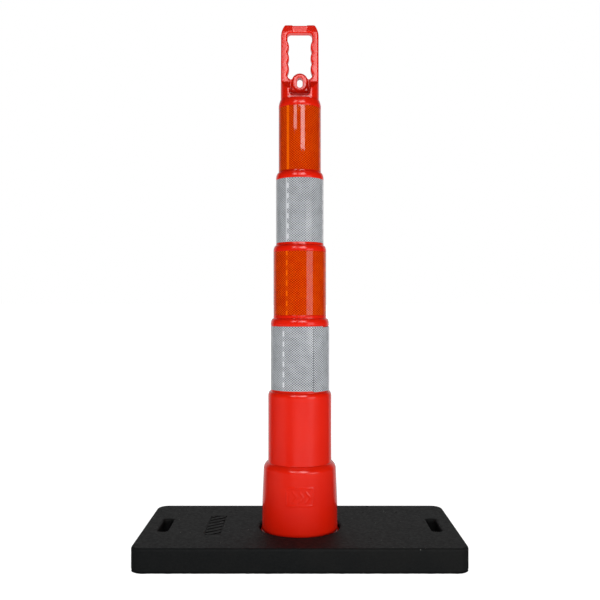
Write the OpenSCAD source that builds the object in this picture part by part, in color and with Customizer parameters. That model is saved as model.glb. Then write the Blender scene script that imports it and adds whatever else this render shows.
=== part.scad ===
// Stackable traffic channelizer: a stepped hollow post with a loop handle, four reflective sheets
// wrapped round its stages, and a rubber base that drops over the post onto its bottom flange.
// Millimetres. The origin is on the floor at the post's axis, +Z is up, the handle's window looks
// along Y, and -Y is the front.

/* [Post] */
// Height of the post, from the floor to the top of the handle
post_h = 1067; // [1060:1:1075]
// Radius of the highest stage
stage_r = 43.2; // [42:0.1:44]
// How much each lower stage grows in radius
stage_step = 5.4; // [5:0.1:5.6]
// Height of the highest stage's top edge
stage_top = 913; // [911:1:915]
// Distance from one stage's top edge to the next
stage_pitch = 148; // [147:0.1:149]
// Height over which a stage's shoulder slopes out to the wall
shoulder_drop = 11; // [9:0.5:12]
// Wall thickness of the post
wall = 3.5; // [3:0.5:4]

/* [Collar and foot] */
// Height of the collar's top edge
collar_top = 178; // [176:1:180]
// Radius of the collar just under its shoulder
collar_r_top = 73.9; // [73:0.1:74.5]
// Radius of the collar where it enters the base
collar_r_low = 77.3; // [76.9:0.1:77.7]
// Radius of the foot inside the base
foot_r = 80; // [79.6:0.1:80.6]
// Distance across the corners of the eight-sided flange under the base
flange_d = 212; // [204:1:220]
// Thickness of that flange
flange_t = 6; // [5:0.5:7]

/* [Handle] */
// Width of the handle
handle_w = 76.8; // [76:0.2:77]
// Thickness of the handle
handle_t = 23; // [22:0.5:24]
// Width of the finger window
window_w = 50; // [48:0.5:51]
// Height of the window's lower edge
window_low = 957; // [955:1:959]
// Thickness of the bar over the window
top_bar = 16; // [14:0.5:18]
// How far each finger bump reaches into the window
bump = 3; // [2:0.25:3.5]
// Width of the lamp bolt's slot
slot_w = 11.4; // [10:0.2:13]
// Height of the lamp bolt's slot
slot_h = 20.8; // [18:0.2:22]

/* [Reflective sheets] */
// Height of a sheet
sheet_h = 128; // [126:1:130]
// Thickness of a sheet
sheet_t = 0.6; // [0.4:0.1:0.7]
// Depth of the groove that a sheet lies in
groove = 0.8; // [0.8:0.1:1.2]
// Length of the overlap where a sheet's two ends meet
overlap = 24; // [15:1:40]

/* [Base] */
// Length of the base, along X
base_l = 633; // [600:1:660]
// Depth of the base, along Y
base_w = 305; // [290:5:320]
// Thickness of the base
base_t = 46; // [42:1:50]
// Corner radius of the base, seen from above
base_corner = 24; // [18:1:30]
// Rounding of the base's upper edge
base_edge = 5; // [3:0.5:6]
// Radius of the hole that the post stands in
hole_r = 82; // [81.8:0.1:83]
// Length of a hand slot
hand_l = 86; // [80:1:92]
// Width of a hand slot
hand_w = 21; // [18:1:24]

/* [Hidden] */

$fn = 96;
eps = 0.01;
stages = 5;
sheets = 4;
safety_red = "#e8270f";
reflective_orange = "#d9530a";
reflective_white = "#c9cccd";
rubber_black = "#26282a";

// Neck: the drum between the handle and the highest stage
neck_r = 39;
neck_top = 950;
neck_flat = 30;
neck_edge = 934;
pocket_w = 42;
pocket_low = 919;
pocket_back = 7;
pocket_corner = 8;

// Lamp boss in the pocket: a block with a round top, and an oblong ring on each face
boss_w = 33.3;
boss_low = 931;
boss_high = 969;
boss_t = 17;
ring_w = 28.4;
ring_h = 34;
ring_t = 21;
boss_mid = 949.5;

// Handle outline
grip_corner = [[0, -20], [-2.4, -10.6], [-6, -3], [-9, 0]];
handle_edge = 4;
shoulder_low = 1050;
shoulder_taper = 4;
bar_w = 31;
bar_t = 19;
bar_drop = 1.6;
window_corner = 7;
bumps = 3;
bump_pitch = 22.4;
bump_mid = 1000.3;
bump_r = (pow(bump_pitch / 2, 2) + bump * bump) / (2 * bump);

// Foot of the post
collar_drop = 14;
collar_ledge = 0.15;
collar_curve = 2;
collar_bend = [76.6, 97];
flare_top = 41;
flare = foot_r - collar_r_low;
roof = 7;

// Mark on the collar: a raised frame round three chevrons
mark_w = 56;
mark_h = 36;
mark_mid = 121;
mark_line = 2.5;
mark_raise = 0.6;
chevrons = 3;

// Sheets: height of each bottom edge over the next stage, and the direction of each seam
sheet_gap = [3.2, 5.8, 7.4, 5];
groove_gap = 0.4;
seam_turn = [78, 112, 95, -62];

// Details of the base
hand_x = 275;
hand_corner = 9;
hole_edge = 4;
seat_gap = 1.2;
seat_lift = 0.3;
plate_x = -172;
plate_w = 33;
plate_l = 131;
plate_deep = 1.4;
plate_bars = 6;
dimple_x = [137, 209];
dimple_y = 92;
dimple_r = 1.8;
dimple_deep = 12;

// Share of a shoulder's width that is a level ledge, before the slope begins
stage_ledge = 0.4;

// How sharply a shoulder's slope steepens: the highest stage's is nearly a cone
first_curve = 1.4;
stage_curve = 2.5;

function stage_radius(k) = stage_r + stage_step * k;
function stage_edge(k) = stage_top - stage_pitch * k;
function sheet_low(k) = stage_edge(k + 1) + sheet_gap[k];

// Step from radius r_in at height top out to radius r_out: a ledge, then a slope that steepens
function shoulder(r_in, r_out, top, drop, ledge, curve) = concat(
  [[r_in, top]],
  [
    for (t = [0:0.2:1])
      [r_in + (r_out - r_in) * (1 - (1 - ledge) * pow(1 - t, curve)), top - drop * t]
  ]
);

// Half outline of the stepped post, from the axis outwards, moved inwards by inset
function stepped_outline(inset, crown) = concat(
  [[0, stage_top - crown]],
  shoulder(neck_r - inset, stage_r - inset, stage_top - crown, shoulder_drop, stage_ledge, first_curve),
  [
    for (k = [1:stages - 1], p = shoulder(stage_radius(k - 1) - inset, stage_radius(k) - inset,
                                          stage_edge(k) - inset, shoulder_drop, stage_ledge,
                                          stage_curve))
      p
  ],
  shoulder(stage_radius(stages - 1) - inset, collar_r_top - inset, collar_top - inset,
           collar_drop, collar_ledge, collar_curve),
  [
    [collar_bend[0] - inset, collar_bend[1]],
    [collar_r_low - inset, flare_top],
    [foot_r - inset, flare_top - flare],
    [foot_r - inset, -inset],
    [0, -inset]
  ]
);

// Rectangle with four round corners, centred
module round_rect(w, h, r) {
  square([w - 2 * r, h], center = true);
  square([w, h - 2 * r], center = true);
  for (x = [-1, 1], y = [-1, 1])
    translate([x * (w / 2 - r), y * (h / 2 - r)])
      circle(r);
}

// Turns an outline drawn in X and Z into a slab of thickness t, centred on Y
module slab(t) {
  rotate([90, 0, 0])
    linear_extrude(t, center = true)
      children();
}

module handle_outline() {
  half = handle_w / 2;
  edge = [for (p = grip_corner) [half + p[0], post_h + p[1]]];
  mirrored = [for (i = [len(edge) - 1:-1:0]) [-edge[i][0], edge[i][1]]];
  difference() {
    polygon(concat([[half, stage_top - 5]], edge, mirrored, [[-half, stage_top - 5]]));
    translate([-bar_w / 2, shoulder_low])
      square([bar_w, post_h]);
    window_outline();
  }
}

// Finger window, narrowed by a row of bumps on each side
module window_outline() {
  window_h = post_h - top_bar - window_low;
  difference() {
    translate([0, window_low + window_h / 2])
      round_rect(window_w, window_h, window_corner);
    for (side = [-1, 1], i = [0:bumps - 1])
      translate([side * (window_w / 2 - bump + bump_r), bump_mid + bump_pitch * (i - 1)])
        circle(bump_r);
  }
}

// Loop with round outer edges, thinner towards the top, and a flat bar across its middle
module handle() {
  thin = handle_t / 2 - shoulder_taper;
  intersection() {
    slab(handle_t)
      handle_outline();
    linear_extrude(post_h + 1)
      round_rect(handle_w + 1, handle_t, handle_edge);
    rotate([90, 0, 90])
      linear_extrude(handle_w, center = true)
        polygon([
          [-handle_t / 2, stage_top - 6],
          [handle_t / 2, stage_top - 6],
          [handle_t / 2, shoulder_low],
          [thin, post_h],
          [-thin, post_h],
          [-handle_t / 2, shoulder_low]
        ]);
  }
  translate([-bar_w / 2 - eps, -bar_t / 2, post_h - top_bar])
    cube([bar_w + 2 * eps, bar_t, top_bar - bar_drop]);
}

// Drum with a flat front and back, and a roof that slopes up to the handle
module neck() {
  intersection() {
    translate([0, 0, stage_top - 5])
      cylinder(r = neck_r, h = neck_top - stage_top + 5);
    rotate([90, 0, 90])
      linear_extrude(2 * neck_r + 2, center = true)
        polygon([
          [-neck_flat, stage_top - 6],
          [neck_flat, stage_top - 6],
          [neck_flat, neck_edge],
          [handle_t / 2, neck_top],
          [-handle_t / 2, neck_top],
          [-neck_flat, neck_edge]
        ]);
  }
}

// Pockets in the front and back of the neck, open at the top into the window
module neck_pockets() {
  pocket_h = window_low + 20 - pocket_low;
  for (side = [-1, 1])
    translate([0, side * (pocket_back + neck_r / 2), pocket_low + pocket_h / 2])
      slab(neck_r)
        round_rect(pocket_w, pocket_h, pocket_corner);
}

module boss() {
  slab(boss_t) {
    translate([0, boss_high - boss_w / 2])
      circle(d = boss_w);
    translate([-boss_w / 2, boss_low])
      square([boss_w, boss_high - boss_low - boss_w / 2]);
  }
  translate([0, 0, boss_mid])
    slab(ring_t)
      round_rect(ring_w, ring_h, ring_w / 2 - eps);
}

module lamp_slot() {
  translate([0, 0, boss_mid])
    slab(ring_t + 2)
      round_rect(slot_w, slot_h, slot_w / 2 - eps);
}

module mark_outline() {
  difference() {
    round_rect(mark_w, mark_h, 4);
    round_rect(mark_w - 2 * mark_line, mark_h - 2 * mark_line, 4 - mark_line);
  }
  for (i = [0:chevrons - 1])
    translate([13 * (i - 1) - 4, 0])
      polygon([[0, 10], [4, 10], [12, 0], [4, -10], [0, -10], [8, 0]]);
}

// Raised mark that follows the collar's surface on its front
module collar_mark() {
  low = mark_mid - mark_h;
  intersection() {
    translate([0, -collar_r_low + 5, mark_mid])
      slab(20)
        mark_outline();
    translate([0, 0, low])
      cylinder(r1 = collar_r_low - 0.4 + mark_raise, r2 = collar_r_top + 0.4 + mark_raise,
               h = 2 * mark_h);
  }
}

module post() {
  color(safety_red)
    difference() {
      union() {
        rotate_extrude()
          polygon([for (p = stepped_outline(0, 0)) p]);
        difference() {
          union() {
            handle();
            neck();
          }
          neck_pockets();
        }
        boss();
        collar_mark();
        rotate(22.5)
          cylinder(d = flange_d, h = flange_t, $fn = 8);
      }
      lamp_slot();
      rotate_extrude()
        polygon(stepped_outline(wall, roof));
      for (k = [0:sheets - 1])
        rotate_extrude()
          translate([stage_radius(k) - groove, sheet_low(k) - groove_gap])
            square([groove + 1, sheet_h + 2 * groove_gap]);
    }
}

// A full wrap, with its outer end lying over its inner end
module sheet(k) {
  r = stage_radius(k) - groove;
  translate([0, 0, sheet_low(k)]) {
    rotate_extrude()
      translate([r, 0])
        square([sheet_t, sheet_h]);
    rotate(seam_turn[k])
      rotate_extrude(angle = overlap / r * 180 / PI)
        translate([r + sheet_t / 2, 0])
          square([1.5 * sheet_t, sheet_h]);
  }
}

module sheet_1_orange() {
  color(reflective_orange)
    sheet(0);
}

module sheet_2_white() {
  color(reflective_white)
    sheet(1);
}

module sheet_3_orange() {
  color(reflective_orange)
    sheet(2);
}

module sheet_4_white() {
  color(reflective_white)
    sheet(3);
}

// Slab with round corners and a round upper edge
module base_block() {
  linear_extrude(base_t - base_edge)
    round_rect(base_l, base_w, base_corner);
  linear_extrude(base_t)
    round_rect(base_l - 2 * base_edge, base_w - 2 * base_edge, base_corner - base_edge);
  translate([0, 0, base_t - base_edge]) {
    for (side = [-1, 1]) {
      translate([0, side * (base_w / 2 - base_edge), 0])
        rotate([0, 90, 0])
          cylinder(r = base_edge, h = base_l - 2 * base_corner, center = true);
      translate([side * (base_l / 2 - base_edge), 0, 0])
        rotate([90, 0, 0])
          cylinder(r = base_edge, h = base_w - 2 * base_corner, center = true);
    }
    for (x = [-1, 1], y = [-1, 1])
      translate([x * (base_l / 2 - base_corner), y * (base_w / 2 - base_corner), 0])
        rotate_extrude()
          translate([base_corner - base_edge, 0])
            intersection() {
              circle(base_edge);
              translate([0, -base_edge])
                square([base_edge, 2 * base_edge]);
            }
  }
}

// Hole for the post, with a round upper edge, and the flange's seat under it
module post_hole() {
  translate([0, 0, -1])
    cylinder(r = hole_r, h = base_t + 2);
  rotate_extrude()
    translate([hole_r - eps, base_t - hole_edge])
      difference() {
        square([hole_edge + eps, hole_edge + 1]);
        translate([hole_edge + eps, 0])
          circle(hole_edge);
      }
  translate([0, 0, -1])
    rotate(22.5)
      cylinder(d = flange_d + 2 * seat_gap, h = flange_t + seat_lift + 1, $fn = 8);
}

// Sunk plate with slanting hazard bars left standing in it
module hazard_plate() {
  pitch = plate_l / plate_bars;
  translate([plate_x, 0, base_t - plate_deep])
    linear_extrude(plate_deep + 1)
      difference() {
        round_rect(plate_w, plate_l, 2);
        intersection() {
          round_rect(plate_w - 5, plate_l - 5, 1);
          for (i = [0:plate_bars])
            translate([0, pitch * (i - plate_bars / 2)])
              rotate(40)
                square([2 * plate_w, pitch * 0.4], center = true);
        }
      }
}

module base() {
  color(rubber_black)
    difference() {
      base_block();
      post_hole();
      for (side = [-1, 1])
        translate([side * hand_x, 0, -1])
          linear_extrude(base_t + 2)
            round_rect(hand_w, hand_l, hand_corner);
      hazard_plate();
      for (x = dimple_x, y = [-dimple_y, dimple_y])
        translate([x, y, base_t - dimple_deep])
          cylinder(r = dimple_r, h = dimple_deep + 1);
    }
}

post();
sheet_1_orange();
sheet_2_white();
sheet_3_orange();
sheet_4_white();
base();
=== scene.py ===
"""Studio scene of a stepped channelizer post with reflective sheets, standing in its rubber base."""
import math

import bmesh
import bpy
from mathutils import Matrix, Vector, noise


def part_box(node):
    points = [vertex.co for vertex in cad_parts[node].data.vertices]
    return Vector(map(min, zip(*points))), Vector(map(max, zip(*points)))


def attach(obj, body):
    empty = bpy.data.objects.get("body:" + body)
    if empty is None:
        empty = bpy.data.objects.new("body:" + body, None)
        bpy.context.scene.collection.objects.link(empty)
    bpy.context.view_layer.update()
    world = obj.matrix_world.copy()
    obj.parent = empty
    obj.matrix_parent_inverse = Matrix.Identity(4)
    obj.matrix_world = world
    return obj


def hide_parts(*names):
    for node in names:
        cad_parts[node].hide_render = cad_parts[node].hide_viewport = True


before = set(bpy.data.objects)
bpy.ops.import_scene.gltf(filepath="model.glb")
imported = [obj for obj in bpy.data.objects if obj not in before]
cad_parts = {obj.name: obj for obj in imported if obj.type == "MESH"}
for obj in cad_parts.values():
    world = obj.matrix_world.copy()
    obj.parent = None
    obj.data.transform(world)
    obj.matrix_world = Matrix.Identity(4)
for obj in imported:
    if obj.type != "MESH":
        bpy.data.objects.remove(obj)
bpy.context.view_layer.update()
MM = 0.001

# Sizes of the post in millimetres, as in the CAD source
STAGE_R, STAGE_STEP, STAGES = 43.2, 5.4, 5
STAGE_TOP, STAGE_PITCH, SHOULDER_DROP = 913.0, 148.0, 11.0
NECK_R, WALL, ROOF = 39.0, 3.5, 7.0
COLLAR_TOP, COLLAR_DROP = 178.0, 14.0
STAGE_LEDGE, FIRST_CURVE, STAGE_CURVE = 0.4, 1.4, 2.5
COLLAR_LEDGE, COLLAR_CURVE = 0.15, 2.0
COLLAR_R_TOP, COLLAR_BEND, COLLAR_R_LOW = 73.9, (76.6, 97.0), 77.3
FOOT_R, FLARE_TOP = 80.0, 41.0
FLANGE_D, FLANGE_T = 212.0, 6.0
SHEET_T, GROOVE, OVERLAP = 0.6, 0.8, 24.0
HANDLE_W, HANDLE_T, HANDLE_TOP = 76.8, 23.0, 1067.0
WINDOW_LOW, WINDOW_HIGH, WINDOW_W = 957.0, 1051.0, 50.0
SLOT_W, SLOT_H, SLOT_MID = 11.4, 20.8, 949.5
MARK_MID, MARK_RAISED = 121.0, 0.7
SEGMENTS = 384
# Half the length of a cutter that goes right through the handle or the neck
THROUGH = 60.0

# Each sheet's stage, the bearing of its outer end, how far it slants and how far its loose side
# bulges; then its first row of dashes, the pitch of the rows, the height of a dash's middle, how
# much higher the other rows' dashes are, and the width and the filled share of the first and of
# the other rows. Bearings are in degrees from the front, lengths in millimetres.
SHEETS = {
    "sheet_1_orange": dict(
        stage=0, seam=168, skew=0.5, bulge=0.0,
        row=-25.0, gap=77.5, dash_mid=2.3, rise=0.0, width=(5.0, 3.6), share=(0.97, 0.5),
    ),
    "sheet_2_white": dict(
        stage=1, seam=202, skew=0.4, bulge=0.0,
        row=-24.6, gap=86.0, dash_mid=11.4, rise=0.4, width=(3.6, 3.6), share=(0.5, 0.5),
    ),
    "sheet_3_orange": dict(
        stage=2, seam=185, skew=0.5, bulge=0.0,
        row=-26.8, gap=94.0, dash_mid=3.4, rise=7.0, width=(3.0, 3.4), share=(0.5, 0.5),
    ),
    "sheet_4_white": dict(
        stage=3, seam=27, skew=2.0, bulge=1.6,
        row=-34.0, gap=85.9, dash_mid=12.9, rise=0.0, width=(3.6, 5.0), share=(0.5, 0.96),
    ),
}


# ---------------------------------------------------------------- node helpers

class Nodes:
    """Short way to build a material's node tree."""

    def __init__(self, name):
        self.material = bpy.data.materials.new(name)
        self.material.use_nodes = True
        self.tree = self.material.node_tree
        self.shader = self.tree.nodes["Principled BSDF"]

    def add(self, kind, inputs=(), **settings):
        node = self.tree.nodes.new(kind)
        for key, value in settings.items():
            setattr(node, key, value)
        for key, value in dict(inputs).items():
            self.put(node.inputs[key], value)
        return node

    def put(self, socket, value):
        if isinstance(value, bpy.types.NodeSocket):
            self.tree.links.new(value, socket)
        else:
            socket.default_value = value

    def set(self, **values):
        """Puts values on the shader's sockets; a socket's name is written with underscores."""
        for key, value in values.items():
            self.put(self.shader.inputs[key.replace("_", " ")], value)

    def math(self, operation, *values):
        return self.add("ShaderNodeMath", dict(enumerate(values)), operation=operation).outputs[0]

    def ramp(self, value, low, high, out_low=0.0, out_high=1.0):
        """Smooth step from out_low to out_high while value goes from low to high."""
        node = self.add(
            "ShaderNodeMapRange",
            {"Value": value, "From Min": low, "From Max": high, "To Min": out_low, "To Max": out_high},
            interpolation_type="SMOOTHSTEP",
        )
        return node.outputs["Result"]

    def mix(self, factor, a, b):
        return self.add("ShaderNodeMix", {0: factor, 6: a, 7: b}, data_type="RGBA").outputs[2]

    def noise(self, vector, scale, detail=2.0, roughness=0.5):
        inputs = {"Vector": vector, "Scale": scale, "Detail": detail, "Roughness": roughness}
        return self.add("ShaderNodeTexNoise", inputs).outputs["Fac"]

    def bump(self, height, distance, strength=1.0):
        inputs = {"Height": height, "Distance": distance, "Strength": strength}
        return self.add("ShaderNodeBump", inputs).outputs["Normal"]

    def coords(self, kind="Object"):
        return self.add("ShaderNodeTexCoord").outputs[kind]

    def stretched(self, vector, x, y, z):
        return self.add("ShaderNodeMapping", {"Vector": vector, "Scale": (x, y, z)}).outputs[0]


def rgb(red, green, blue):
    """Linear colour from display values of 0 to 255."""
    def linear(value):
        value /= 255
        return value / 12.92 if value <= 0.04045 else ((value + 0.055) / 1.055) ** 2.4
    return (linear(red), linear(green), linear(blue), 1.0)


# ---------------------------------------------------------------- materials

def post_plastic():
    """Orange-red moulded polyethylene: satin, a little cloudy, with orange peel and faint rub marks."""
    n = Nodes("post_plastic")
    at = n.coords()
    cloud = n.noise(at, 14.0, 3.0)
    rub = n.noise(n.stretched(at, 60.0, 60.0, 6.0), 1.0, 6.0, 0.7)
    colour = n.mix(n.ramp(cloud, 0.3, 0.7), rgb(197, 23, 5), rgb(201, 26, 6))
    colour = n.mix(n.ramp(rub, 0.62, 0.80, 0.0, 0.08), colour, rgb(226, 60, 34))
    height = n.math("MULTIPLY_ADD", n.noise(at, 220.0), 2.0, n.noise(at, 900.0))
    n.set(Base_Color=colour, Roughness=n.ramp(rub, 0.35, 0.75, 0.15, 0.19), IOR=1.5)
    n.set(Normal=n.bump(height, 0.0001, 0.15))
    return n.material


def sheeting(name, tones, sheet, line):
    """Prismatic film under a clear glossy face: staggered cells, and rows of bright dashes.

    The mesh's UV map is the sheet unrolled, in metres, with its zero at the front."""
    cell_w, cell_h, dash_pitch = 5.75 * MM, 4.77 * MM, 20.2 * MM
    line_offset, line_w, blur = 3.5 * MM, 1.5 * MM, 0.3 * MM
    n = Nodes(name)
    split = n.add("ShaderNodeSeparateXYZ", {"Vector": n.coords("UV")})
    u, v = split.outputs["X"], split.outputs["Y"]

    across = n.math("COSINE", n.math("MULTIPLY", u, 2 * math.pi / cell_w))
    along = n.math("COSINE", n.math("MULTIPLY", v, 2 * math.pi / cell_h))
    lattice = n.math("MULTIPLY", across, along)
    patch = n.noise(n.coords(), 55.0)
    tone = n.mix(n.ramp(patch, 0.3, 0.7, 0.0, 0.3), tones["cell"], tones["gleam"])
    tone = n.mix(n.ramp(lattice, 0.15, 0.75), tone, tones["dot"])
    tone = n.mix(n.ramp(lattice, -0.2, -0.9), tone, tones["gleam"])

    row, gap = sheet["row"] * MM, sheet["gap"] * MM
    is_other = n.math("GREATER_THAN", n.math("ABSOLUTE", n.math("SUBTRACT", u, row)), gap / 2)
    off_row = n.math("SUBTRACT", n.math("WRAP", n.math("ADD", u, gap / 2 - row), gap, 0.0), gap / 2)
    first_w, other_w = (w / 2 * MM for w in sheet["width"])
    half_w = n.math("MULTIPLY_ADD", is_other, other_w - first_w, first_w)
    beyond = n.math("SUBTRACT", n.math("ABSOLUTE", off_row), half_w)
    in_row = n.ramp(beyond, blur, -blur)
    first_share, other_share = sheet["share"]
    half_share = n.math("MULTIPLY_ADD", is_other, (other_share - first_share) / 2, first_share / 2)
    lift = n.math("MULTIPLY_ADD", is_other, -sheet["rise"] * MM, -sheet["dash_mid"] * MM)
    turns = n.math("FRACT", n.math("MULTIPLY_ADD", n.math("ADD", v, lift), 1 / dash_pitch, 0.5))
    off_dash = n.math("SUBTRACT", n.math("ABSOLUTE", n.math("SUBTRACT", turns, 0.5)), half_share)
    bright = n.math("MULTIPLY", in_row, n.ramp(off_dash, 0.015, -0.015))
    if line:
        off_line = n.math("ABSOLUTE", n.math("ADD", off_row, line_offset))
        in_line = n.ramp(off_line, line_w / 2 + blur, line_w / 2 - blur)
        bright = n.math("MAXIMUM", bright, in_line)
    tone = n.mix(n.ramp(beyond, 3.0 * MM, 0.0, 0.0, 0.15), tone, tones["dash"])
    tone = n.mix(bright, tone, tones["dash"])

    # Painted highlight along the bottom cut edge, in the edge tone, and painted shade along the outer
    # end, where it lies over the inner end, in the dark dot tone
    end = (math.radians(sheet["seam"]) - 2 * math.pi) * film_radius(sheet) * MM
    tone = n.mix(n.ramp(v, 1.2 * MM, 0.4 * MM, 0.0, 0.6), tone, tones["edge"])
    tone = n.mix(n.ramp(u, end + 1.2 * MM, end + 0.5 * MM, 0.0, 0.7), tone, tones["dot"])

    n.set(Base_Color=tone, Roughness=0.45, Specular_IOR_Level=0.0)
    n.set(Coat_Weight=1.0, Coat_Roughness=0.03, Coat_IOR=1.5)
    n.set(Normal=n.bump(lattice, 0.00015, 0.3))
    return n.material


def orange_sheeting(name, sheet):
    # edge is a painted highlight for the bottom edge; dot also paints the shade along the outer end
    tones = dict(
        cell=rgb(178, 40, 0), dot=rgb(96, 5, 0), gleam=rgb(208, 76, 1),
        dash=rgb(216, 88, 2), edge=rgb(176, 46, 7),
    )
    return sheeting(name, tones, sheet, False)


def white_sheeting(name, sheet):
    # edge is a painted highlight for the bottom edge; dot also paints the shade along the outer end
    tones = dict(
        cell=rgb(137, 140, 143), dot=rgb(46, 50, 54), gleam=rgb(182, 186, 190),
        dash=rgb(190, 192, 196), edge=rgb(146, 168, 172),
    )
    return sheeting(name, tones, sheet, sheet["stage"] == 1)


def base_rubber():
    """Pressed recycled rubber: near black, grainy and matt, with sparse pale crumbs."""
    n = Nodes("base_rubber")
    at = n.coords()
    grain = n.noise(at, 700.0, 3.0, 0.6)
    crumb = n.noise(at, 160.0, 3.0, 0.6)
    cloud = n.noise(at, 9.0, 3.0)
    colour = n.mix(n.ramp(grain, 0.35, 0.7), rgb(11, 13, 14), rgb(21, 22, 22))
    colour = n.mix(n.ramp(cloud, 0.35, 0.7, 0.0, 0.3), colour, rgb(25, 24, 22))
    flecks = n.add("ShaderNodeTexVoronoi", {"Vector": at, "Scale": 300.0, "Randomness": 1.0})
    chosen = n.add("ShaderNodeSeparateColor", {"Color": flecks.outputs["Color"]})
    is_pale = n.math("GREATER_THAN", chosen.outputs[0], 0.985)
    size = n.math("MULTIPLY", chosen.outputs[1], 0.3)
    fleck = n.math("MULTIPLY", is_pale, n.math("LESS_THAN", flecks.outputs["Distance"], size))
    n.set(Base_Color=n.mix(fleck, colour, rgb(120, 120, 117)), Specular_IOR_Level=0.14)
    n.set(Roughness=n.ramp(crumb, 0.3, 0.7, 0.58, 0.70))
    n.set(Normal=n.bump(n.math("ADD", grain, crumb), 0.0005, 0.45))
    return n.material


# ---------------------------------------------------------------- mesh helpers

def finish_mesh(name, bm, material, crease=38.0):
    """Object from a bmesh in millimetres, smooth but for edges sharper than crease degrees."""
    bmesh.ops.scale(bm, vec=(MM, MM, MM), verts=bm.verts)
    bmesh.ops.recalc_face_normals(bm, faces=bm.faces)
    limit = math.radians(crease)
    for face in bm.faces:
        face.smooth = True
    for edge in bm.edges:
        edge.smooth = len(edge.link_faces) != 2 or edge.calc_face_angle() < limit
    obj = loose_object(bm, name)
    obj.data.materials.append(material)
    return obj


def applied(obj):
    """The object's mesh with its modifiers applied; the object itself goes."""
    graph = bpy.context.evaluated_depsgraph_get()
    mesh = bpy.data.meshes.new_from_object(obj.evaluated_get(graph), depsgraph=graph)
    bpy.data.objects.remove(obj)
    return mesh


def loose_object(shape, name="work"):
    """Object in the scene from a mesh or a bmesh."""
    mesh = shape
    if isinstance(shape, bmesh.types.BMesh):
        mesh = bpy.data.meshes.new(name)
        shape.to_mesh(mesh)
        shape.free()
    obj = bpy.data.objects.new(name, mesh)
    bpy.context.scene.collection.objects.link(obj)
    return obj


def prism(outline, low, high, axis="Z"):
    """Closed prism over a simple outline. Along Y the outline is in X and Z, along X in Y and Z."""
    place = {
        "Z": lambda a, b, c: (a, b, c),
        "Y": lambda a, b, c: (a, c, b),
        "X": lambda a, b, c: (c, a, b),
    }[axis]
    bm = bmesh.new()
    ends = [[bm.verts.new(place(a, b, c)) for a, b in outline] for c in (low, high)]
    for i in range(len(outline)):
        bm.faces.new((ends[0][i - 1], ends[0][i], ends[1][i], ends[1][i - 1]))
    for end in ends:
        bm.faces.new(end)
    bmesh.ops.recalc_face_normals(bm, faces=bm.faces)
    return loose_object(bm)


def boolean(target, tool, operation="DIFFERENCE"):
    """Applies one exact boolean and returns the result as a new loose object."""
    step = target.modifiers.new("cut", "BOOLEAN")
    step.operation = operation
    step.object = tool
    step.solver = "EXACT"
    result = loose_object(applied(target))
    bpy.data.objects.remove(tool)
    return result


def arc(cx, cy, r, start, end, steps):
    """Points on a circle from start to end, in degrees."""
    angles = [math.radians(start + (end - start) * i / steps) for i in range(steps + 1)]
    return [(cx + r * math.cos(a), cy + r * math.sin(a)) for a in angles]


def ring(cx, cy, r, corners=96, turn=0.0):
    """Closed polygon with its corners on a circle."""
    return arc(cx, cy, r, turn, turn + 360 * (corners - 1) / corners, corners - 1)


def round_rect(w, h, r, cx=0.0, cy=0.0, steps=6):
    corners = ((1, 1, 0), (-1, 1, 90), (-1, -1, 180), (1, -1, 270))
    points = []
    for sx, sy, turn in corners:
        points += arc(cx + sx * (w / 2 - r), cy + sy * (h / 2 - r), r, turn, turn + 90, steps)
    return points


def bevelled_slab(loops, thickness, bevel):
    """Flat slab with round edges from an outer loop and its holes, centred on Z = 0."""
    curve = bpy.data.curves.new("slab", "CURVE")
    curve.dimensions = "2D"
    curve.fill_mode = "BOTH"
    curve.extrude = thickness / 2 - bevel
    curve.bevel_depth = bevel
    curve.bevel_resolution = 4
    curve.offset = -bevel
    for loop in loops:
        spline = curve.splines.new("POLY")
        spline.points.add(len(loop) - 1)
        for point, (x, y) in zip(spline.points, loop):
            point.co = (x, y, 0.0, 1.0)
        spline.use_cyclic_u = True
    obj = bpy.data.objects.new("slab", curve)
    bpy.context.scene.collection.objects.link(obj)
    bm = bmesh.new()
    bm.from_mesh(applied(obj))
    bmesh.ops.remove_doubles(bm, verts=bm.verts, dist=0.01)
    return bm


def upright(bm):
    """Turns a slab drawn flat in X and Y so that it stands in X and Z."""
    bmesh.ops.rotate(bm, cent=(0, 0, 0), matrix=Matrix.Rotation(math.pi / 2, 3, "X"), verts=bm.verts)
    return loose_object(bm)


def merged(objects):
    bm = bmesh.new()
    for obj in objects:
        bm.from_mesh(obj.data)
        bpy.data.objects.remove(obj)
    return bm


# ---------------------------------------------------------------- post

def stage_radius(k):
    return STAGE_R + STAGE_STEP * k


def stage_edge(k):
    return STAGE_TOP - STAGE_PITCH * k


def shoulder(r_in, r_out, top, drop, ledge, curve):
    """Profile of a step from r_in out to r_out: a small fillet, a ledge, a slope that steepens."""
    fillet, dip, steps = 0.6, 0.15, 12
    reach = r_out - r_in
    foot = arc(r_in + fillet, top + fillet, fillet, 180, 270, 5)
    corner = (r_in + reach * ledge, top - dip)
    slope = [(r_in + reach * (1 - (1 - ledge) * (1 - t) ** curve), top - drop * t)
             for t in (i / steps for i in range(1, steps + 1))]
    return foot + [corner] + slope


def groove_profile(radius, low, high):
    """Shallow groove that a sheet lies in, with softened lips."""
    floor = radius - GROOVE
    return [
        (radius, high + 0.6), (radius - 0.15, high + 0.2), (floor + 0.1, high), (floor, high - 0.3),
        (floor, low + 0.3), (floor + 0.1, low), (radius - 0.15, low - 0.2), (radius, low - 0.6),
    ]


def collar_radius(z):
    """The collar widens quickly at first, then hardly at all."""
    bend_r, bend_z = COLLAR_BEND
    if z > bend_z:
        return bend_r + (COLLAR_R_TOP - bend_r) * (z - bend_z) / (COLLAR_TOP - COLLAR_DROP - bend_z)
    return bend_r + (COLLAR_R_LOW - bend_r) * (bend_z - z) / (bend_z - FLARE_TOP)


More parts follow.
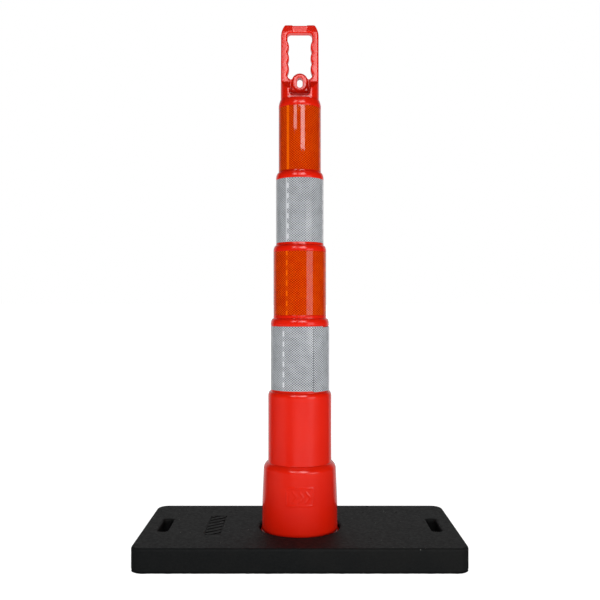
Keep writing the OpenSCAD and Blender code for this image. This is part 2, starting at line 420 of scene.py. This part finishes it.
def outer_profile():
    """Outline of the post's outside, from the axis at the top down to the floor."""
    rows, clearance = 84, 0.3
    points = [(0.0, STAGE_TOP)]
    inner = NECK_R - 0.4
    for k in range(STAGES):
        radius = stage_radius(k)
        curve = STAGE_CURVE if k else FIRST_CURVE
        points += shoulder(inner, radius, stage_edge(k), SHOULDER_DROP, STAGE_LEDGE, curve)
        inner = radius
        for name, sheet in SHEETS.items():
            if sheet["stage"] == k:
                lo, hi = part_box(name)
                low, high = lo.z / MM - sheet["skew"] - clearance, hi.z / MM + clearance
                points += groove_profile(radius, low, high)
    points += shoulder(inner, COLLAR_R_TOP, COLLAR_TOP, COLLAR_DROP, COLLAR_LEDGE, COLLAR_CURVE)
    top = COLLAR_TOP - COLLAR_DROP - 4
    for i in range(rows + 1):
        z = top + (FLARE_TOP - top) * i / rows
        points.append((collar_radius(z), z))
    flare = FOOT_R - COLLAR_R_LOW
    points += [(COLLAR_R_LOW + flare * reach, FLARE_TOP - flare * drop)
               for reach, drop in ((0.35, 0.25), (0.8, 0.65), (1.0, 1.1))]
    return points + [(FOOT_R, FLANGE_T - 1), (FOOT_R, 0.0)]


def inner_profile():
    """Outline of the hollow inside, from the floor up to the axis."""
    points = [(FOOT_R - WALL, 0.0), (FOOT_R - WALL, FLARE_TOP - 8), (COLLAR_R_LOW - WALL, FLARE_TOP)]
    points += [(COLLAR_R_TOP - WALL, COLLAR_TOP - COLLAR_DROP - WALL)]
    next_edge = COLLAR_TOP
    for k in reversed(range(STAGES)):
        radius = stage_radius(k) - WALL
        top = stage_edge(k) - (WALL if k else ROOF)
        points += [(radius, next_edge - WALL), (radius, top - SHOULDER_DROP), (radius - 1.2, top - 2.5)]
        next_edge = stage_edge(k)
    return points + [(NECK_R - WALL, STAGE_TOP - ROOF), (0.0, STAGE_TOP - ROOF)]


def revolve(profile, segments):
    """Closed skin of revolution from a profile that starts and ends on the axis."""
    bm = bmesh.new()
    turn = 2 * math.pi / segments
    rings = []
    for r, z in profile:
        spots = range(segments) if r else [0]
        points = [(r * math.sin(turn * i), -r * math.cos(turn * i), z) for i in spots]
        rings.append([bm.verts.new(point) for point in points])
    for upper, lower in zip(rings, rings[1:]):
        for i in range(segments):
            j = (i + 1) % segments
            corners = [upper[i % len(upper)], upper[j % len(upper)]]
            corners += [lower[j % len(lower)], lower[i % len(lower)]]
            unique = list(dict.fromkeys(corners))
            if len(unique) > 2:
                bm.faces.new(unique)
    return bm


def segment_distance(p, a, b):
    p, a, b = Vector(p), Vector(a), Vector(b)
    along = max(0.0, min(1.0, (p - a).dot(b - a) / (b - a).length_squared))
    return (p - a - (b - a) * along).length


def mark_height(x, z):
    """Raised frame round three chevrons; x and z are distances from the mark's middle."""
    half_w, half_h, corner, line, stroke = 28.0, 18.0, 4.0, 2.4, 1.5
    chevron_pitch, chevron_w, chevron_h = 13.0, 8.0, 10.0
    qx, qz = abs(x) - half_w + corner, abs(z) - half_h + corner
    outside = math.hypot(max(qx, 0), max(qz, 0)) + min(max(qx, qz), 0) - corner
    nearest = abs(outside + line / 2) - line / 2
    for i in (-1, 0, 1):
        tip = chevron_pitch * i + chevron_w - 1
        for side in (-1, 1):
            arm = segment_distance((x, z), (tip, 0), (tip - chevron_w, chevron_h * side))
            nearest = min(nearest, arm - stroke)
    return max(0.0, min(1.0, 0.5 - nearest))


def add_mark(bm, middle, height):
    """Raises the mark on the collar's front."""
    reach_x, reach_z = 32, 22
    for vert in bm.verts:
        x, y, z = vert.co
        r = math.hypot(x, y)
        arc_x = math.atan2(x, -y) * r
        if abs(arc_x) < reach_x and abs(z - middle) < reach_z and r > COLLAR_R_TOP - 1:
            grow = 1 + height * mark_height(arc_x, z - middle) / r
            vert.co = (x * grow, y * grow, z)


def window_loop():
    """Finger window: straight ends, and three round bumps along each side."""
    low, high, half, corner, bump = WINDOW_LOW, WINDOW_HIGH, WINDOW_W / 2, 7.4, 3.2
    pitch, middle, steps = 22.4, 1000.3, 72
    side = []
    for i in range(1, steps):
        z = low + corner + (high - low - 2 * corner) * i / steps
        off_bump = min(abs(z - middle - pitch * k) for k in (-1, 0, 1))
        reach = bump * max(0.0, 1 - (2 * off_bump / pitch) ** 2)
        side.append((half - reach, z))
    top = arc(half - corner, high - corner, corner, 0, 90, 6)
    bottom = arc(half - corner, low + corner, corner, -90, 0, 6)
    right = bottom + side + top
    return right + [(-x, z) for x, z in reversed(right)]


def handle_loop(low):
    """Outline of the handle: nearly upright sides and cut-off upper corners."""
    half = HANDLE_W / 2
    flank = [(-0.2, low - HANDLE_TOP), (-0.1, -67), (0.0, -21)]
    cut_corner = [(0.7, -16), (2.1, -11), (4.7, -5.2), (7.1, -1.4), (8.9, 0)]
    right = [(half - inset, HANDLE_TOP + z) for inset, z in flank + cut_corner]
    return right + [(-x, z) for x, z in reversed(right)]


def handle_plate():
    """Loop with round edges, thinner towards the top, with a flat bar across the middle."""
    plate = upright(bevelled_slab([handle_loop(912.0), window_loop()[::-1]], HANDLE_T, 4.5))
    half, low, thin, over = HANDLE_T / 2 + 0.5, 1050.0, HANDLE_T / 2 - 4.0, HANDLE_TOP + 0.5
    envelope = [(-half, 900), (half, 900), (half, low), (thin, over), (-thin, over), (-half, low)]
    plate = boolean(plate, prism(envelope, -THROUGH, THROUGH, "X"), "INTERSECT")
    notch_x, notch_low, notch_high = 15.2, WINDOW_HIGH + 0.5, HANDLE_TOP + 13
    notch = [(-notch_x, notch_low), (notch_x, notch_low), (notch_x, notch_high), (-notch_x, notch_high)]
    plate = boolean(plate, prism(notch, -20, 20, "Y"))
    bar_w, bar_h, bar_t, bar_mid = 32.4, 14.4, 19.0, 1058.2
    bar = bevelled_slab([round_rect(bar_w, bar_h, 1.6, 0, bar_mid)], bar_t, 1.4)
    return cut_pockets(plate), upright(bar)


def neck_drum():
    """Drum with flat front and back, a sloping roof, and a pocket in each face round the lamp boss."""
    flat, low, top, edge, half = 30.0, 907.0, 950.0, 934.0, HANDLE_T / 2
    drum = prism(ring(0, 0, NECK_R), low, top)
    roof = [(-flat, 900), (flat, 900), (flat, edge), (half, top), (-half, top), (-flat, edge)]
    return cut_pockets(boolean(drum, prism(roof, -THROUGH, THROUGH, "X"), "INTERSECT"))


def neck_foot():
    """Thickening where the handle's two flanks run out onto the highest stage."""
    low, high, width = 907.0, 914.6, 34.0
    flanks = [(-50, -width / 2), (50, -width / 2), (50, width / 2), (-50, width / 2)]
    drum = prism(ring(0, 0, NECK_R + 1.0), low, high)
    return boolean(drum, prism(flanks, low - 1, high + 1), "INTERSECT")


def cut_pockets(body):
    """Cuts the front and back pockets, open at the top; the web between them thins downwards."""
    width, low, height, corner = 42.0, 919.0, 80.0, 8.0
    outline = round_rect(width, height, corner, 0, low + height / 2)
    for side in (-1, 1):
        draft = [(2.5, 905), (7, 957), (7, 1010), (60, 1010), (60, 905)]
        wedge = prism([(side * y, z) for y, z in draft], -THROUGH, THROUGH, "X")
        pocket = boolean(prism(outline, -THROUGH, THROUGH, "Y"), wedge, "INTERSECT")
        body = boolean(body, pocket)
    return body


def lamp_boss():
    """Block with a round top, and an oblong ring standing out of each face."""
    width, low, high, block_t = 33.3, 931.0, 969.0, 17.0
    oblong_w, oblong_h, oblong_t = 28.4, 34.0, 21.0
    block = arc(0, high - width / 2, width / 2, 0, 180, 24) + [(-width / 2, low), (width / 2, low)]
    oblong = round_rect(oblong_w, oblong_h, 14.19, 0, SLOT_MID, 12)
    rim = upright(bevelled_slab([oblong], oblong_t, 1.0))
    return upright(bevelled_slab([block], block_t, 2.6)), rim


def melted(body, smoothing=0):
    """The object's parts remeshed into one skin, with softened edges."""
    melt = body.modifiers.new("melt", "REMESH")
    melt.mode = "VOXEL"
    melt.voxel_size = 0.7
    soften = body.modifiers.new("soften", "SMOOTH")
    soften.factor = 0.5
    soften.iterations = smoothing
    return loose_object(applied(body))


def handle():
    """Handle, neck and boss as one soft-edged moulding, with the lamp bolt's slot through the boss."""
    body = melted(loose_object(merged([*handle_plate(), neck_drum(), neck_foot(), *lamp_boss()])))
    slot = round_rect(SLOT_W, SLOT_H, 5.69, 0, SLOT_MID, 10)
    return melted(boolean(body, prism(slot, -20, 20, "Y")), smoothing=7)


def build_post(material):
    shell = revolve(outer_profile() + inner_profile(), SEGMENTS)
    add_mark(shell, MARK_MID, MARK_RAISED)
    flange = prism(ring(0, 0, FLANGE_D / 2, 8, 22.5), 0, FLANGE_T)
    flange = boolean(flange, prism(ring(0, 0, FOOT_R - WALL / 2), -5, 15))
    whole = merged([loose_object(shell), flange, handle()])
    return finish_mesh("post_moulding", whole, material, 50.0)


# ---------------------------------------------------------------- sheets

def film_radius(sheet):
    """Radius of the film's inner face."""
    return stage_radius(sheet["stage"]) - GROOVE + 0.04


def smooth_step(t):
    t = max(0.0, min(1.0, t))
    return t * t * (3 - 2 * t)


def build_sheet(name, sheet, material):
    """One wrap of film whose outer end lies over its inner end, unrolled into its UV map."""
    around, up, climb, bulge_span, clear = 300, 16, 3.0, math.radians(96), 0.08
    lo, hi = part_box(name)
    low, height = lo.z / MM, (hi.z - lo.z) / MM
    radius = film_radius(sheet)
    total = 2 * math.pi + OVERLAP / radius
    seam = math.radians(sheet["seam"])
    bm = bmesh.new()
    layer = bm.loops.layers.uv.new("UVMap")
    verts, coords = {}, {}
    for i in range(around + 1):
        bearing = seam + total * (1 - i / around)
        lap = smooth_step(1 - (bearing - seam - OVERLAP / radius) * radius / climb)
        loose = math.sin(math.pi * min(1.0, (bearing - seam) / bulge_span)) ** 2
        for j in range(up + 1):
            v = height * j / up
            z = low + v - sheet["skew"] * i / around
            spot = Vector((math.cos(bearing) * 1.6, math.sin(bearing) * 1.6, z * 0.02))
            ripple = 0.08 * noise.noise(spot)
            for side in (0, 1):
                r = radius + SHEET_T * (lap + side) + ripple + clear + sheet["bulge"] * loose
                vert = bm.verts.new((r * math.sin(bearing), -r * math.cos(bearing), z))
                verts[side, i, j] = vert
                coords[vert] = ((bearing - 2 * math.pi) * radius * MM, v * MM)

    def face(*keys):
        for loop in bm.faces.new([verts[key] for key in keys]).loops:
            loop[layer].uv = coords[loop.vert]

    for i in range(around):
        for j in range(up):
            face((1, i, j), (1, i, j + 1), (1, i + 1, j + 1), (1, i + 1, j))
            face((0, i, j), (0, i + 1, j), (0, i + 1, j + 1), (0, i, j + 1))
        face((0, i, 0), (1, i, 0), (1, i + 1, 0), (0, i + 1, 0))
        face((0, i, up), (0, i + 1, up), (1, i + 1, up), (1, i, up))
    for j in range(up):
        face((0, 0, j), (0, 0, j + 1), (1, 0, j + 1), (1, 0, j))
        face((0, around, j), (1, around, j), (1, around, j + 1), (0, around, j + 1))
    return finish_mesh(name + "_film", bm, material, 60.0)


# ---------------------------------------------------------------- base

BASE_CORNER, BASE_EDGE = 24.0, 5.0
HOLE_R, SEAT_GAP, SEAT_H = 82.0, 1.2, 6.3
HAND_W, HAND_L, HAND_CORNER, HAND_X = 21.0, 86.0, 9.0, 275.0
DIMPLE_R, DIMPLE_DEEP, DIMPLE_X, DIMPLE_Y = 1.8, 12, (137, 209), 92


def build_base(material):
    lo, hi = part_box("base")
    length, width, thick = (hi - lo) / MM
    loops = [round_rect(length, width, BASE_CORNER, steps=14), ring(0, 0, HOLE_R, 120)[::-1]]
    for hand_x in (-HAND_X, HAND_X):
        loops.append(round_rect(HAND_W, HAND_L, HAND_CORNER, hand_x, 0.0, steps=8)[::-1])
    slab = bevelled_slab(loops, thick, BASE_EDGE)
    bmesh.ops.translate(slab, vec=(0, 0, thick / 2), verts=slab.verts)
    seat = prism(ring(0, 0, FLANGE_D / 2 + SEAT_GAP, 8, 22.5), -1, SEAT_H)
    dimples = [
        prism(ring(x, y, DIMPLE_R, 24), thick - DIMPLE_DEEP, thick + 1)
        for x in DIMPLE_X for y in (-DIMPLE_Y, DIMPLE_Y)
    ]
    body = loose_object(slab)
    for tool in [seat] + dimples + plate_tools(thick):
        body = boolean(body, tool)
    bm = bmesh.new()
    bm.from_mesh(applied(body))
    slab = finish_mesh("base_rubber_slab", bm, material, 35.0)
    steady = slab.modifiers.new("steady", "WEIGHTED_NORMAL")
    steady.keep_sharp = True
    return slab


def plate_tools(thick):
    """Cutters for the sunk plate: its rim, and the gaps between its slanting bars."""
    x, w, l, deep, bars, rim = -172.0, 33.0, 131.0, 1.6, 6, 2.0
    low, over = thick - deep, thick + 1
    inside = round_rect(w - 2 * rim, l - 2 * rim, 1.5, x, 0)
    tools = [boolean(prism(round_rect(w, l, 2, x, 0), low, over), prism(inside, low - 1, over + 1))]
    pitch = (l - 5) / bars
    slant = 0.75 * w
    for i in range(bars + 1):
        near, far = (pitch * (i - bars / 2 + share) for share in (-0.17, 0.17))
        stripe = [(x - w, near - slant), (x + w, near + slant)]
        stripe += [(x + w, far + slant), (x - w, far - slant)]
        tools.append(boolean(prism(stripe, low, over), prism(inside, low - 1, over + 1), "INTERSECT"))
    return tools


def build_flash(material):
    """Ragged lip of pressed rubber along the foot of the base."""
    lo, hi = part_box("base")
    length, width, _ = (hi - lo) / MM
    inset, spacing = 1.5, 2.5
    inner = round_rect(length - 2 * inset, width - 2 * inset, BASE_CORNER - inset, steps=12)
    path = []
    for start, end in zip(inner, inner[1:] + inner[:1]):
        start, end = Vector((*start, 0)), Vector((*end, 0))
        pieces = max(1, int((end - start).length / spacing))
        path += [start.lerp(end, i / pieces) for i in range(pieces)]
    straight_x, straight_y = length / 2 - BASE_CORNER, width / 2 - BASE_CORNER
    bm = bmesh.new()
    rings = []
    for at in path:
        core_x = max(-straight_x, min(straight_x, at.x))
        core_y = max(-straight_y, min(straight_y, at.y))
        core = Vector((core_x, core_y, 0))
        away = (at - core).normalized()
        rough = max(0.0, 0.5 + noise.fractal(Vector((at.x * 0.06, at.y * 0.06, 3.0)), 1.0, 2.0, 3))
        reach, thick = 0.6 + 1.1 * rough, 0.5 + 0.5 * rough
        section = ((-2, 0), (reach, 0), (reach * 0.9, thick), (-2, thick + 0.6))
        rings.append([bm.verts.new(at + away * out + Vector((0, 0, z))) for out, z in section])
    for a, b in zip(rings, rings[1:] + rings[:1]):
        for i in range(4):
            bm.faces.new((a[i - 1], a[i], b[i], b[i - 1]))
    return finish_mesh("base_flash_line", bm, material, 40.0)


# ---------------------------------------------------------------- studio

def camera():
    """Level camera in front of the post, with its view shifted up a little."""
    distance, height, aside, shift = 1.550, 0.4985, 0.0004, 1 / 150
    data = bpy.data.cameras.new("camera")
    data.sensor_width = 36.0
    data.lens = 45.4
    data.shift_y = shift
    obj = bpy.data.objects.new("camera", data)
    obj.location = (aside, -distance, height)
    obj.rotation_euler = (math.pi / 2, 0.0, 0.0)
    bpy.context.scene.collection.objects.link(obj)
    bpy.context.scene.camera = obj


def floor():
    """White sweep that runs out to the horizon; it glows a little, as a lit backdrop does."""
    reach, sunk = 400000.0, 0.0005
    n = Nodes("pale_floor")
    at = n.coords()
    pale = n.mix(n.noise(at, 3.0), (0.5, 0.5, 0.5, 1), (0.52, 0.52, 0.52, 1))
    away = n.add("ShaderNodeVectorMath", {0: at}, operation="LENGTH").outputs["Value"]
    n.set(Base_Color=pale, Roughness=0.9, Specular_IOR_Level=0.0)
    n.set(Emission_Color=(1.0, 1.0, 1.0, 1.0), Emission_Strength=n.ramp(away, 0.45, 1.5, 0.86, 1.15))
    n.material.cycles.emission_sampling = "NONE"
    bm = bmesh.new()
    bmesh.ops.create_grid(bm, x_segments=8, y_segments=8, size=reach)
    obj = finish_mesh("studio_floor", bm, n.material)
    obj.location.z = -sunk
    obj.visible_glossy = False


def softbox(name, bearing, distance, width, low, high, radiance, shows):
    """Upright panel that faces the post from a bearing: 0 is behind the camera, 90 is the right.

    Its light shows only as a "mirror" image in the gloss, or only as "soft" light on the colour."""
    data = bpy.data.lights.new(name, "AREA")
    data.shape = "RECTANGLE"
    data.size, data.size_y = width, high - low
    data.energy = math.pi * radiance * width * (high - low)
    obj = bpy.data.objects.new(name, data)
    a = math.radians(bearing)
    obj.location = (distance * math.sin(a), -distance * math.cos(a), (low + high) / 2)
    obj.rotation_euler = (math.pi / 2, 0.0, a)
    obj.visible_camera = False
    obj.visible_glossy = shows == "mirror"
    obj.visible_diffuse = shows == "soft"
    bpy.context.scene.collection.objects.link(obj)
    return obj


def sky():
    """White to the camera; to the object a dim room that is bright behind the post."""
    world = bpy.data.worlds.new("studio")
    bpy.context.scene.world = world
    world.use_nodes = True
    tree = world.node_tree
    bright_side = tree.nodes.new("ShaderNodeVectorMath")
    bright_side.operation = "DOT_PRODUCT"
    bright_side.inputs[1].default_value = (0.0, 1.0, 0.0)
    tree.links.new(tree.nodes.new("ShaderNodeTexCoord").outputs["Generated"], bright_side.inputs[0])
    room = tree.nodes.new("ShaderNodeMapRange")
    room.interpolation_type = "SMOOTHSTEP"
    for socket, value in (("From Min", 0.5), ("From Max", 0.9), ("To Min", 0.02), ("To Max", 0.65)):
        room.inputs[socket].default_value = value
    tree.links.new(bright_side.outputs["Value"], room.inputs["Value"])
    level = tree.nodes.new("ShaderNodeMapRange")
    seen = tree.nodes.new("ShaderNodeLightPath").outputs["Is Camera Ray"]
    tree.links.new(seen, level.inputs["Value"])
    tree.links.new(room.outputs["Result"], level.inputs["To Min"])
    back = tree.nodes["Background"]
    back.inputs["Color"].default_value = (1.0, 1.0, 1.0, 1.0)
    tree.links.new(level.outputs["Result"], back.inputs["Strength"])


def studio():
    bpy.context.scene.view_settings.view_transform = "Standard"
    sky()
    softbox("strip_left", -24, 2.4, 0.70, 1.39, 2.6, 5.0, shows="mirror")
    softbox("strip_right", 16, 2.4, 0.90, 1.30, 2.6, 6.4, shows="mirror")
    softbox("high_middle", 0, 2.5, 0.60, 1.54, 1.76, 9.0, shows="mirror")
    softbox("high_middle_top", 0, 2.5, 0.60, 1.76, 2.7, 2.0, shows="mirror")
    softbox("side_right", 43, 2.2, 1.10, 0.26, 1.0, 1.9, shows="mirror")
    softbox("fill_right", 50, 1.4, 1.0, 0.0, 0.6, 3.0, shows="soft")
    softbox("back_right", 160, 2.4, 0.90, 0.60, 2.4, 3.0, shows="soft")
    softbox("back_left", -150, 2.4, 0.70, 0.40, 2.4, 2.5, shows="soft")
    softbox("fill_left", -70, 1.0, 0.8, 0.0, 0.4, 3.4, shows="soft")
    softbox("fill_neck", 0, 0.8, 0.5, 0.85, 1.0, 5.0, shows="soft")
    softbox("fill_low", 12, 1.2, 1.6, 0.0, 0.3, 5.6, shows="soft")
    # The one panel that lies flat and shines down
    top = softbox("fill_top", 0, 0.8, 2.4, 2.2, 3.4, 2.2, shows="soft")
    top.rotation_euler.x = 0.0


# ---------------------------------------------------------------- the scene

def put(piece, body, slot, *nodes):
    """Puts a piece on its body and hides the CAD nodes that it stands for."""
    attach(piece, body)
    if nodes:
        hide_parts(*nodes)


camera()
floor()
studio()

put(build_post(post_plastic()), "post", "post_plastic", "post")
for name, sheet in SHEETS.items():
    if name.endswith("orange"):
        film = orange_sheeting(name + "_film", sheet)
        put(build_sheet(name, sheet, film), "post", "orange_sheeting", name)
    else:
        film = white_sheeting(name + "_film", sheet)
        put(build_sheet(name, sheet, film), "post", "white_sheeting", name)
rubber = base_rubber()
put(build_base(rubber), "base", "base_rubber", "base")
put(build_flash(rubber), "base", "base_rubber")
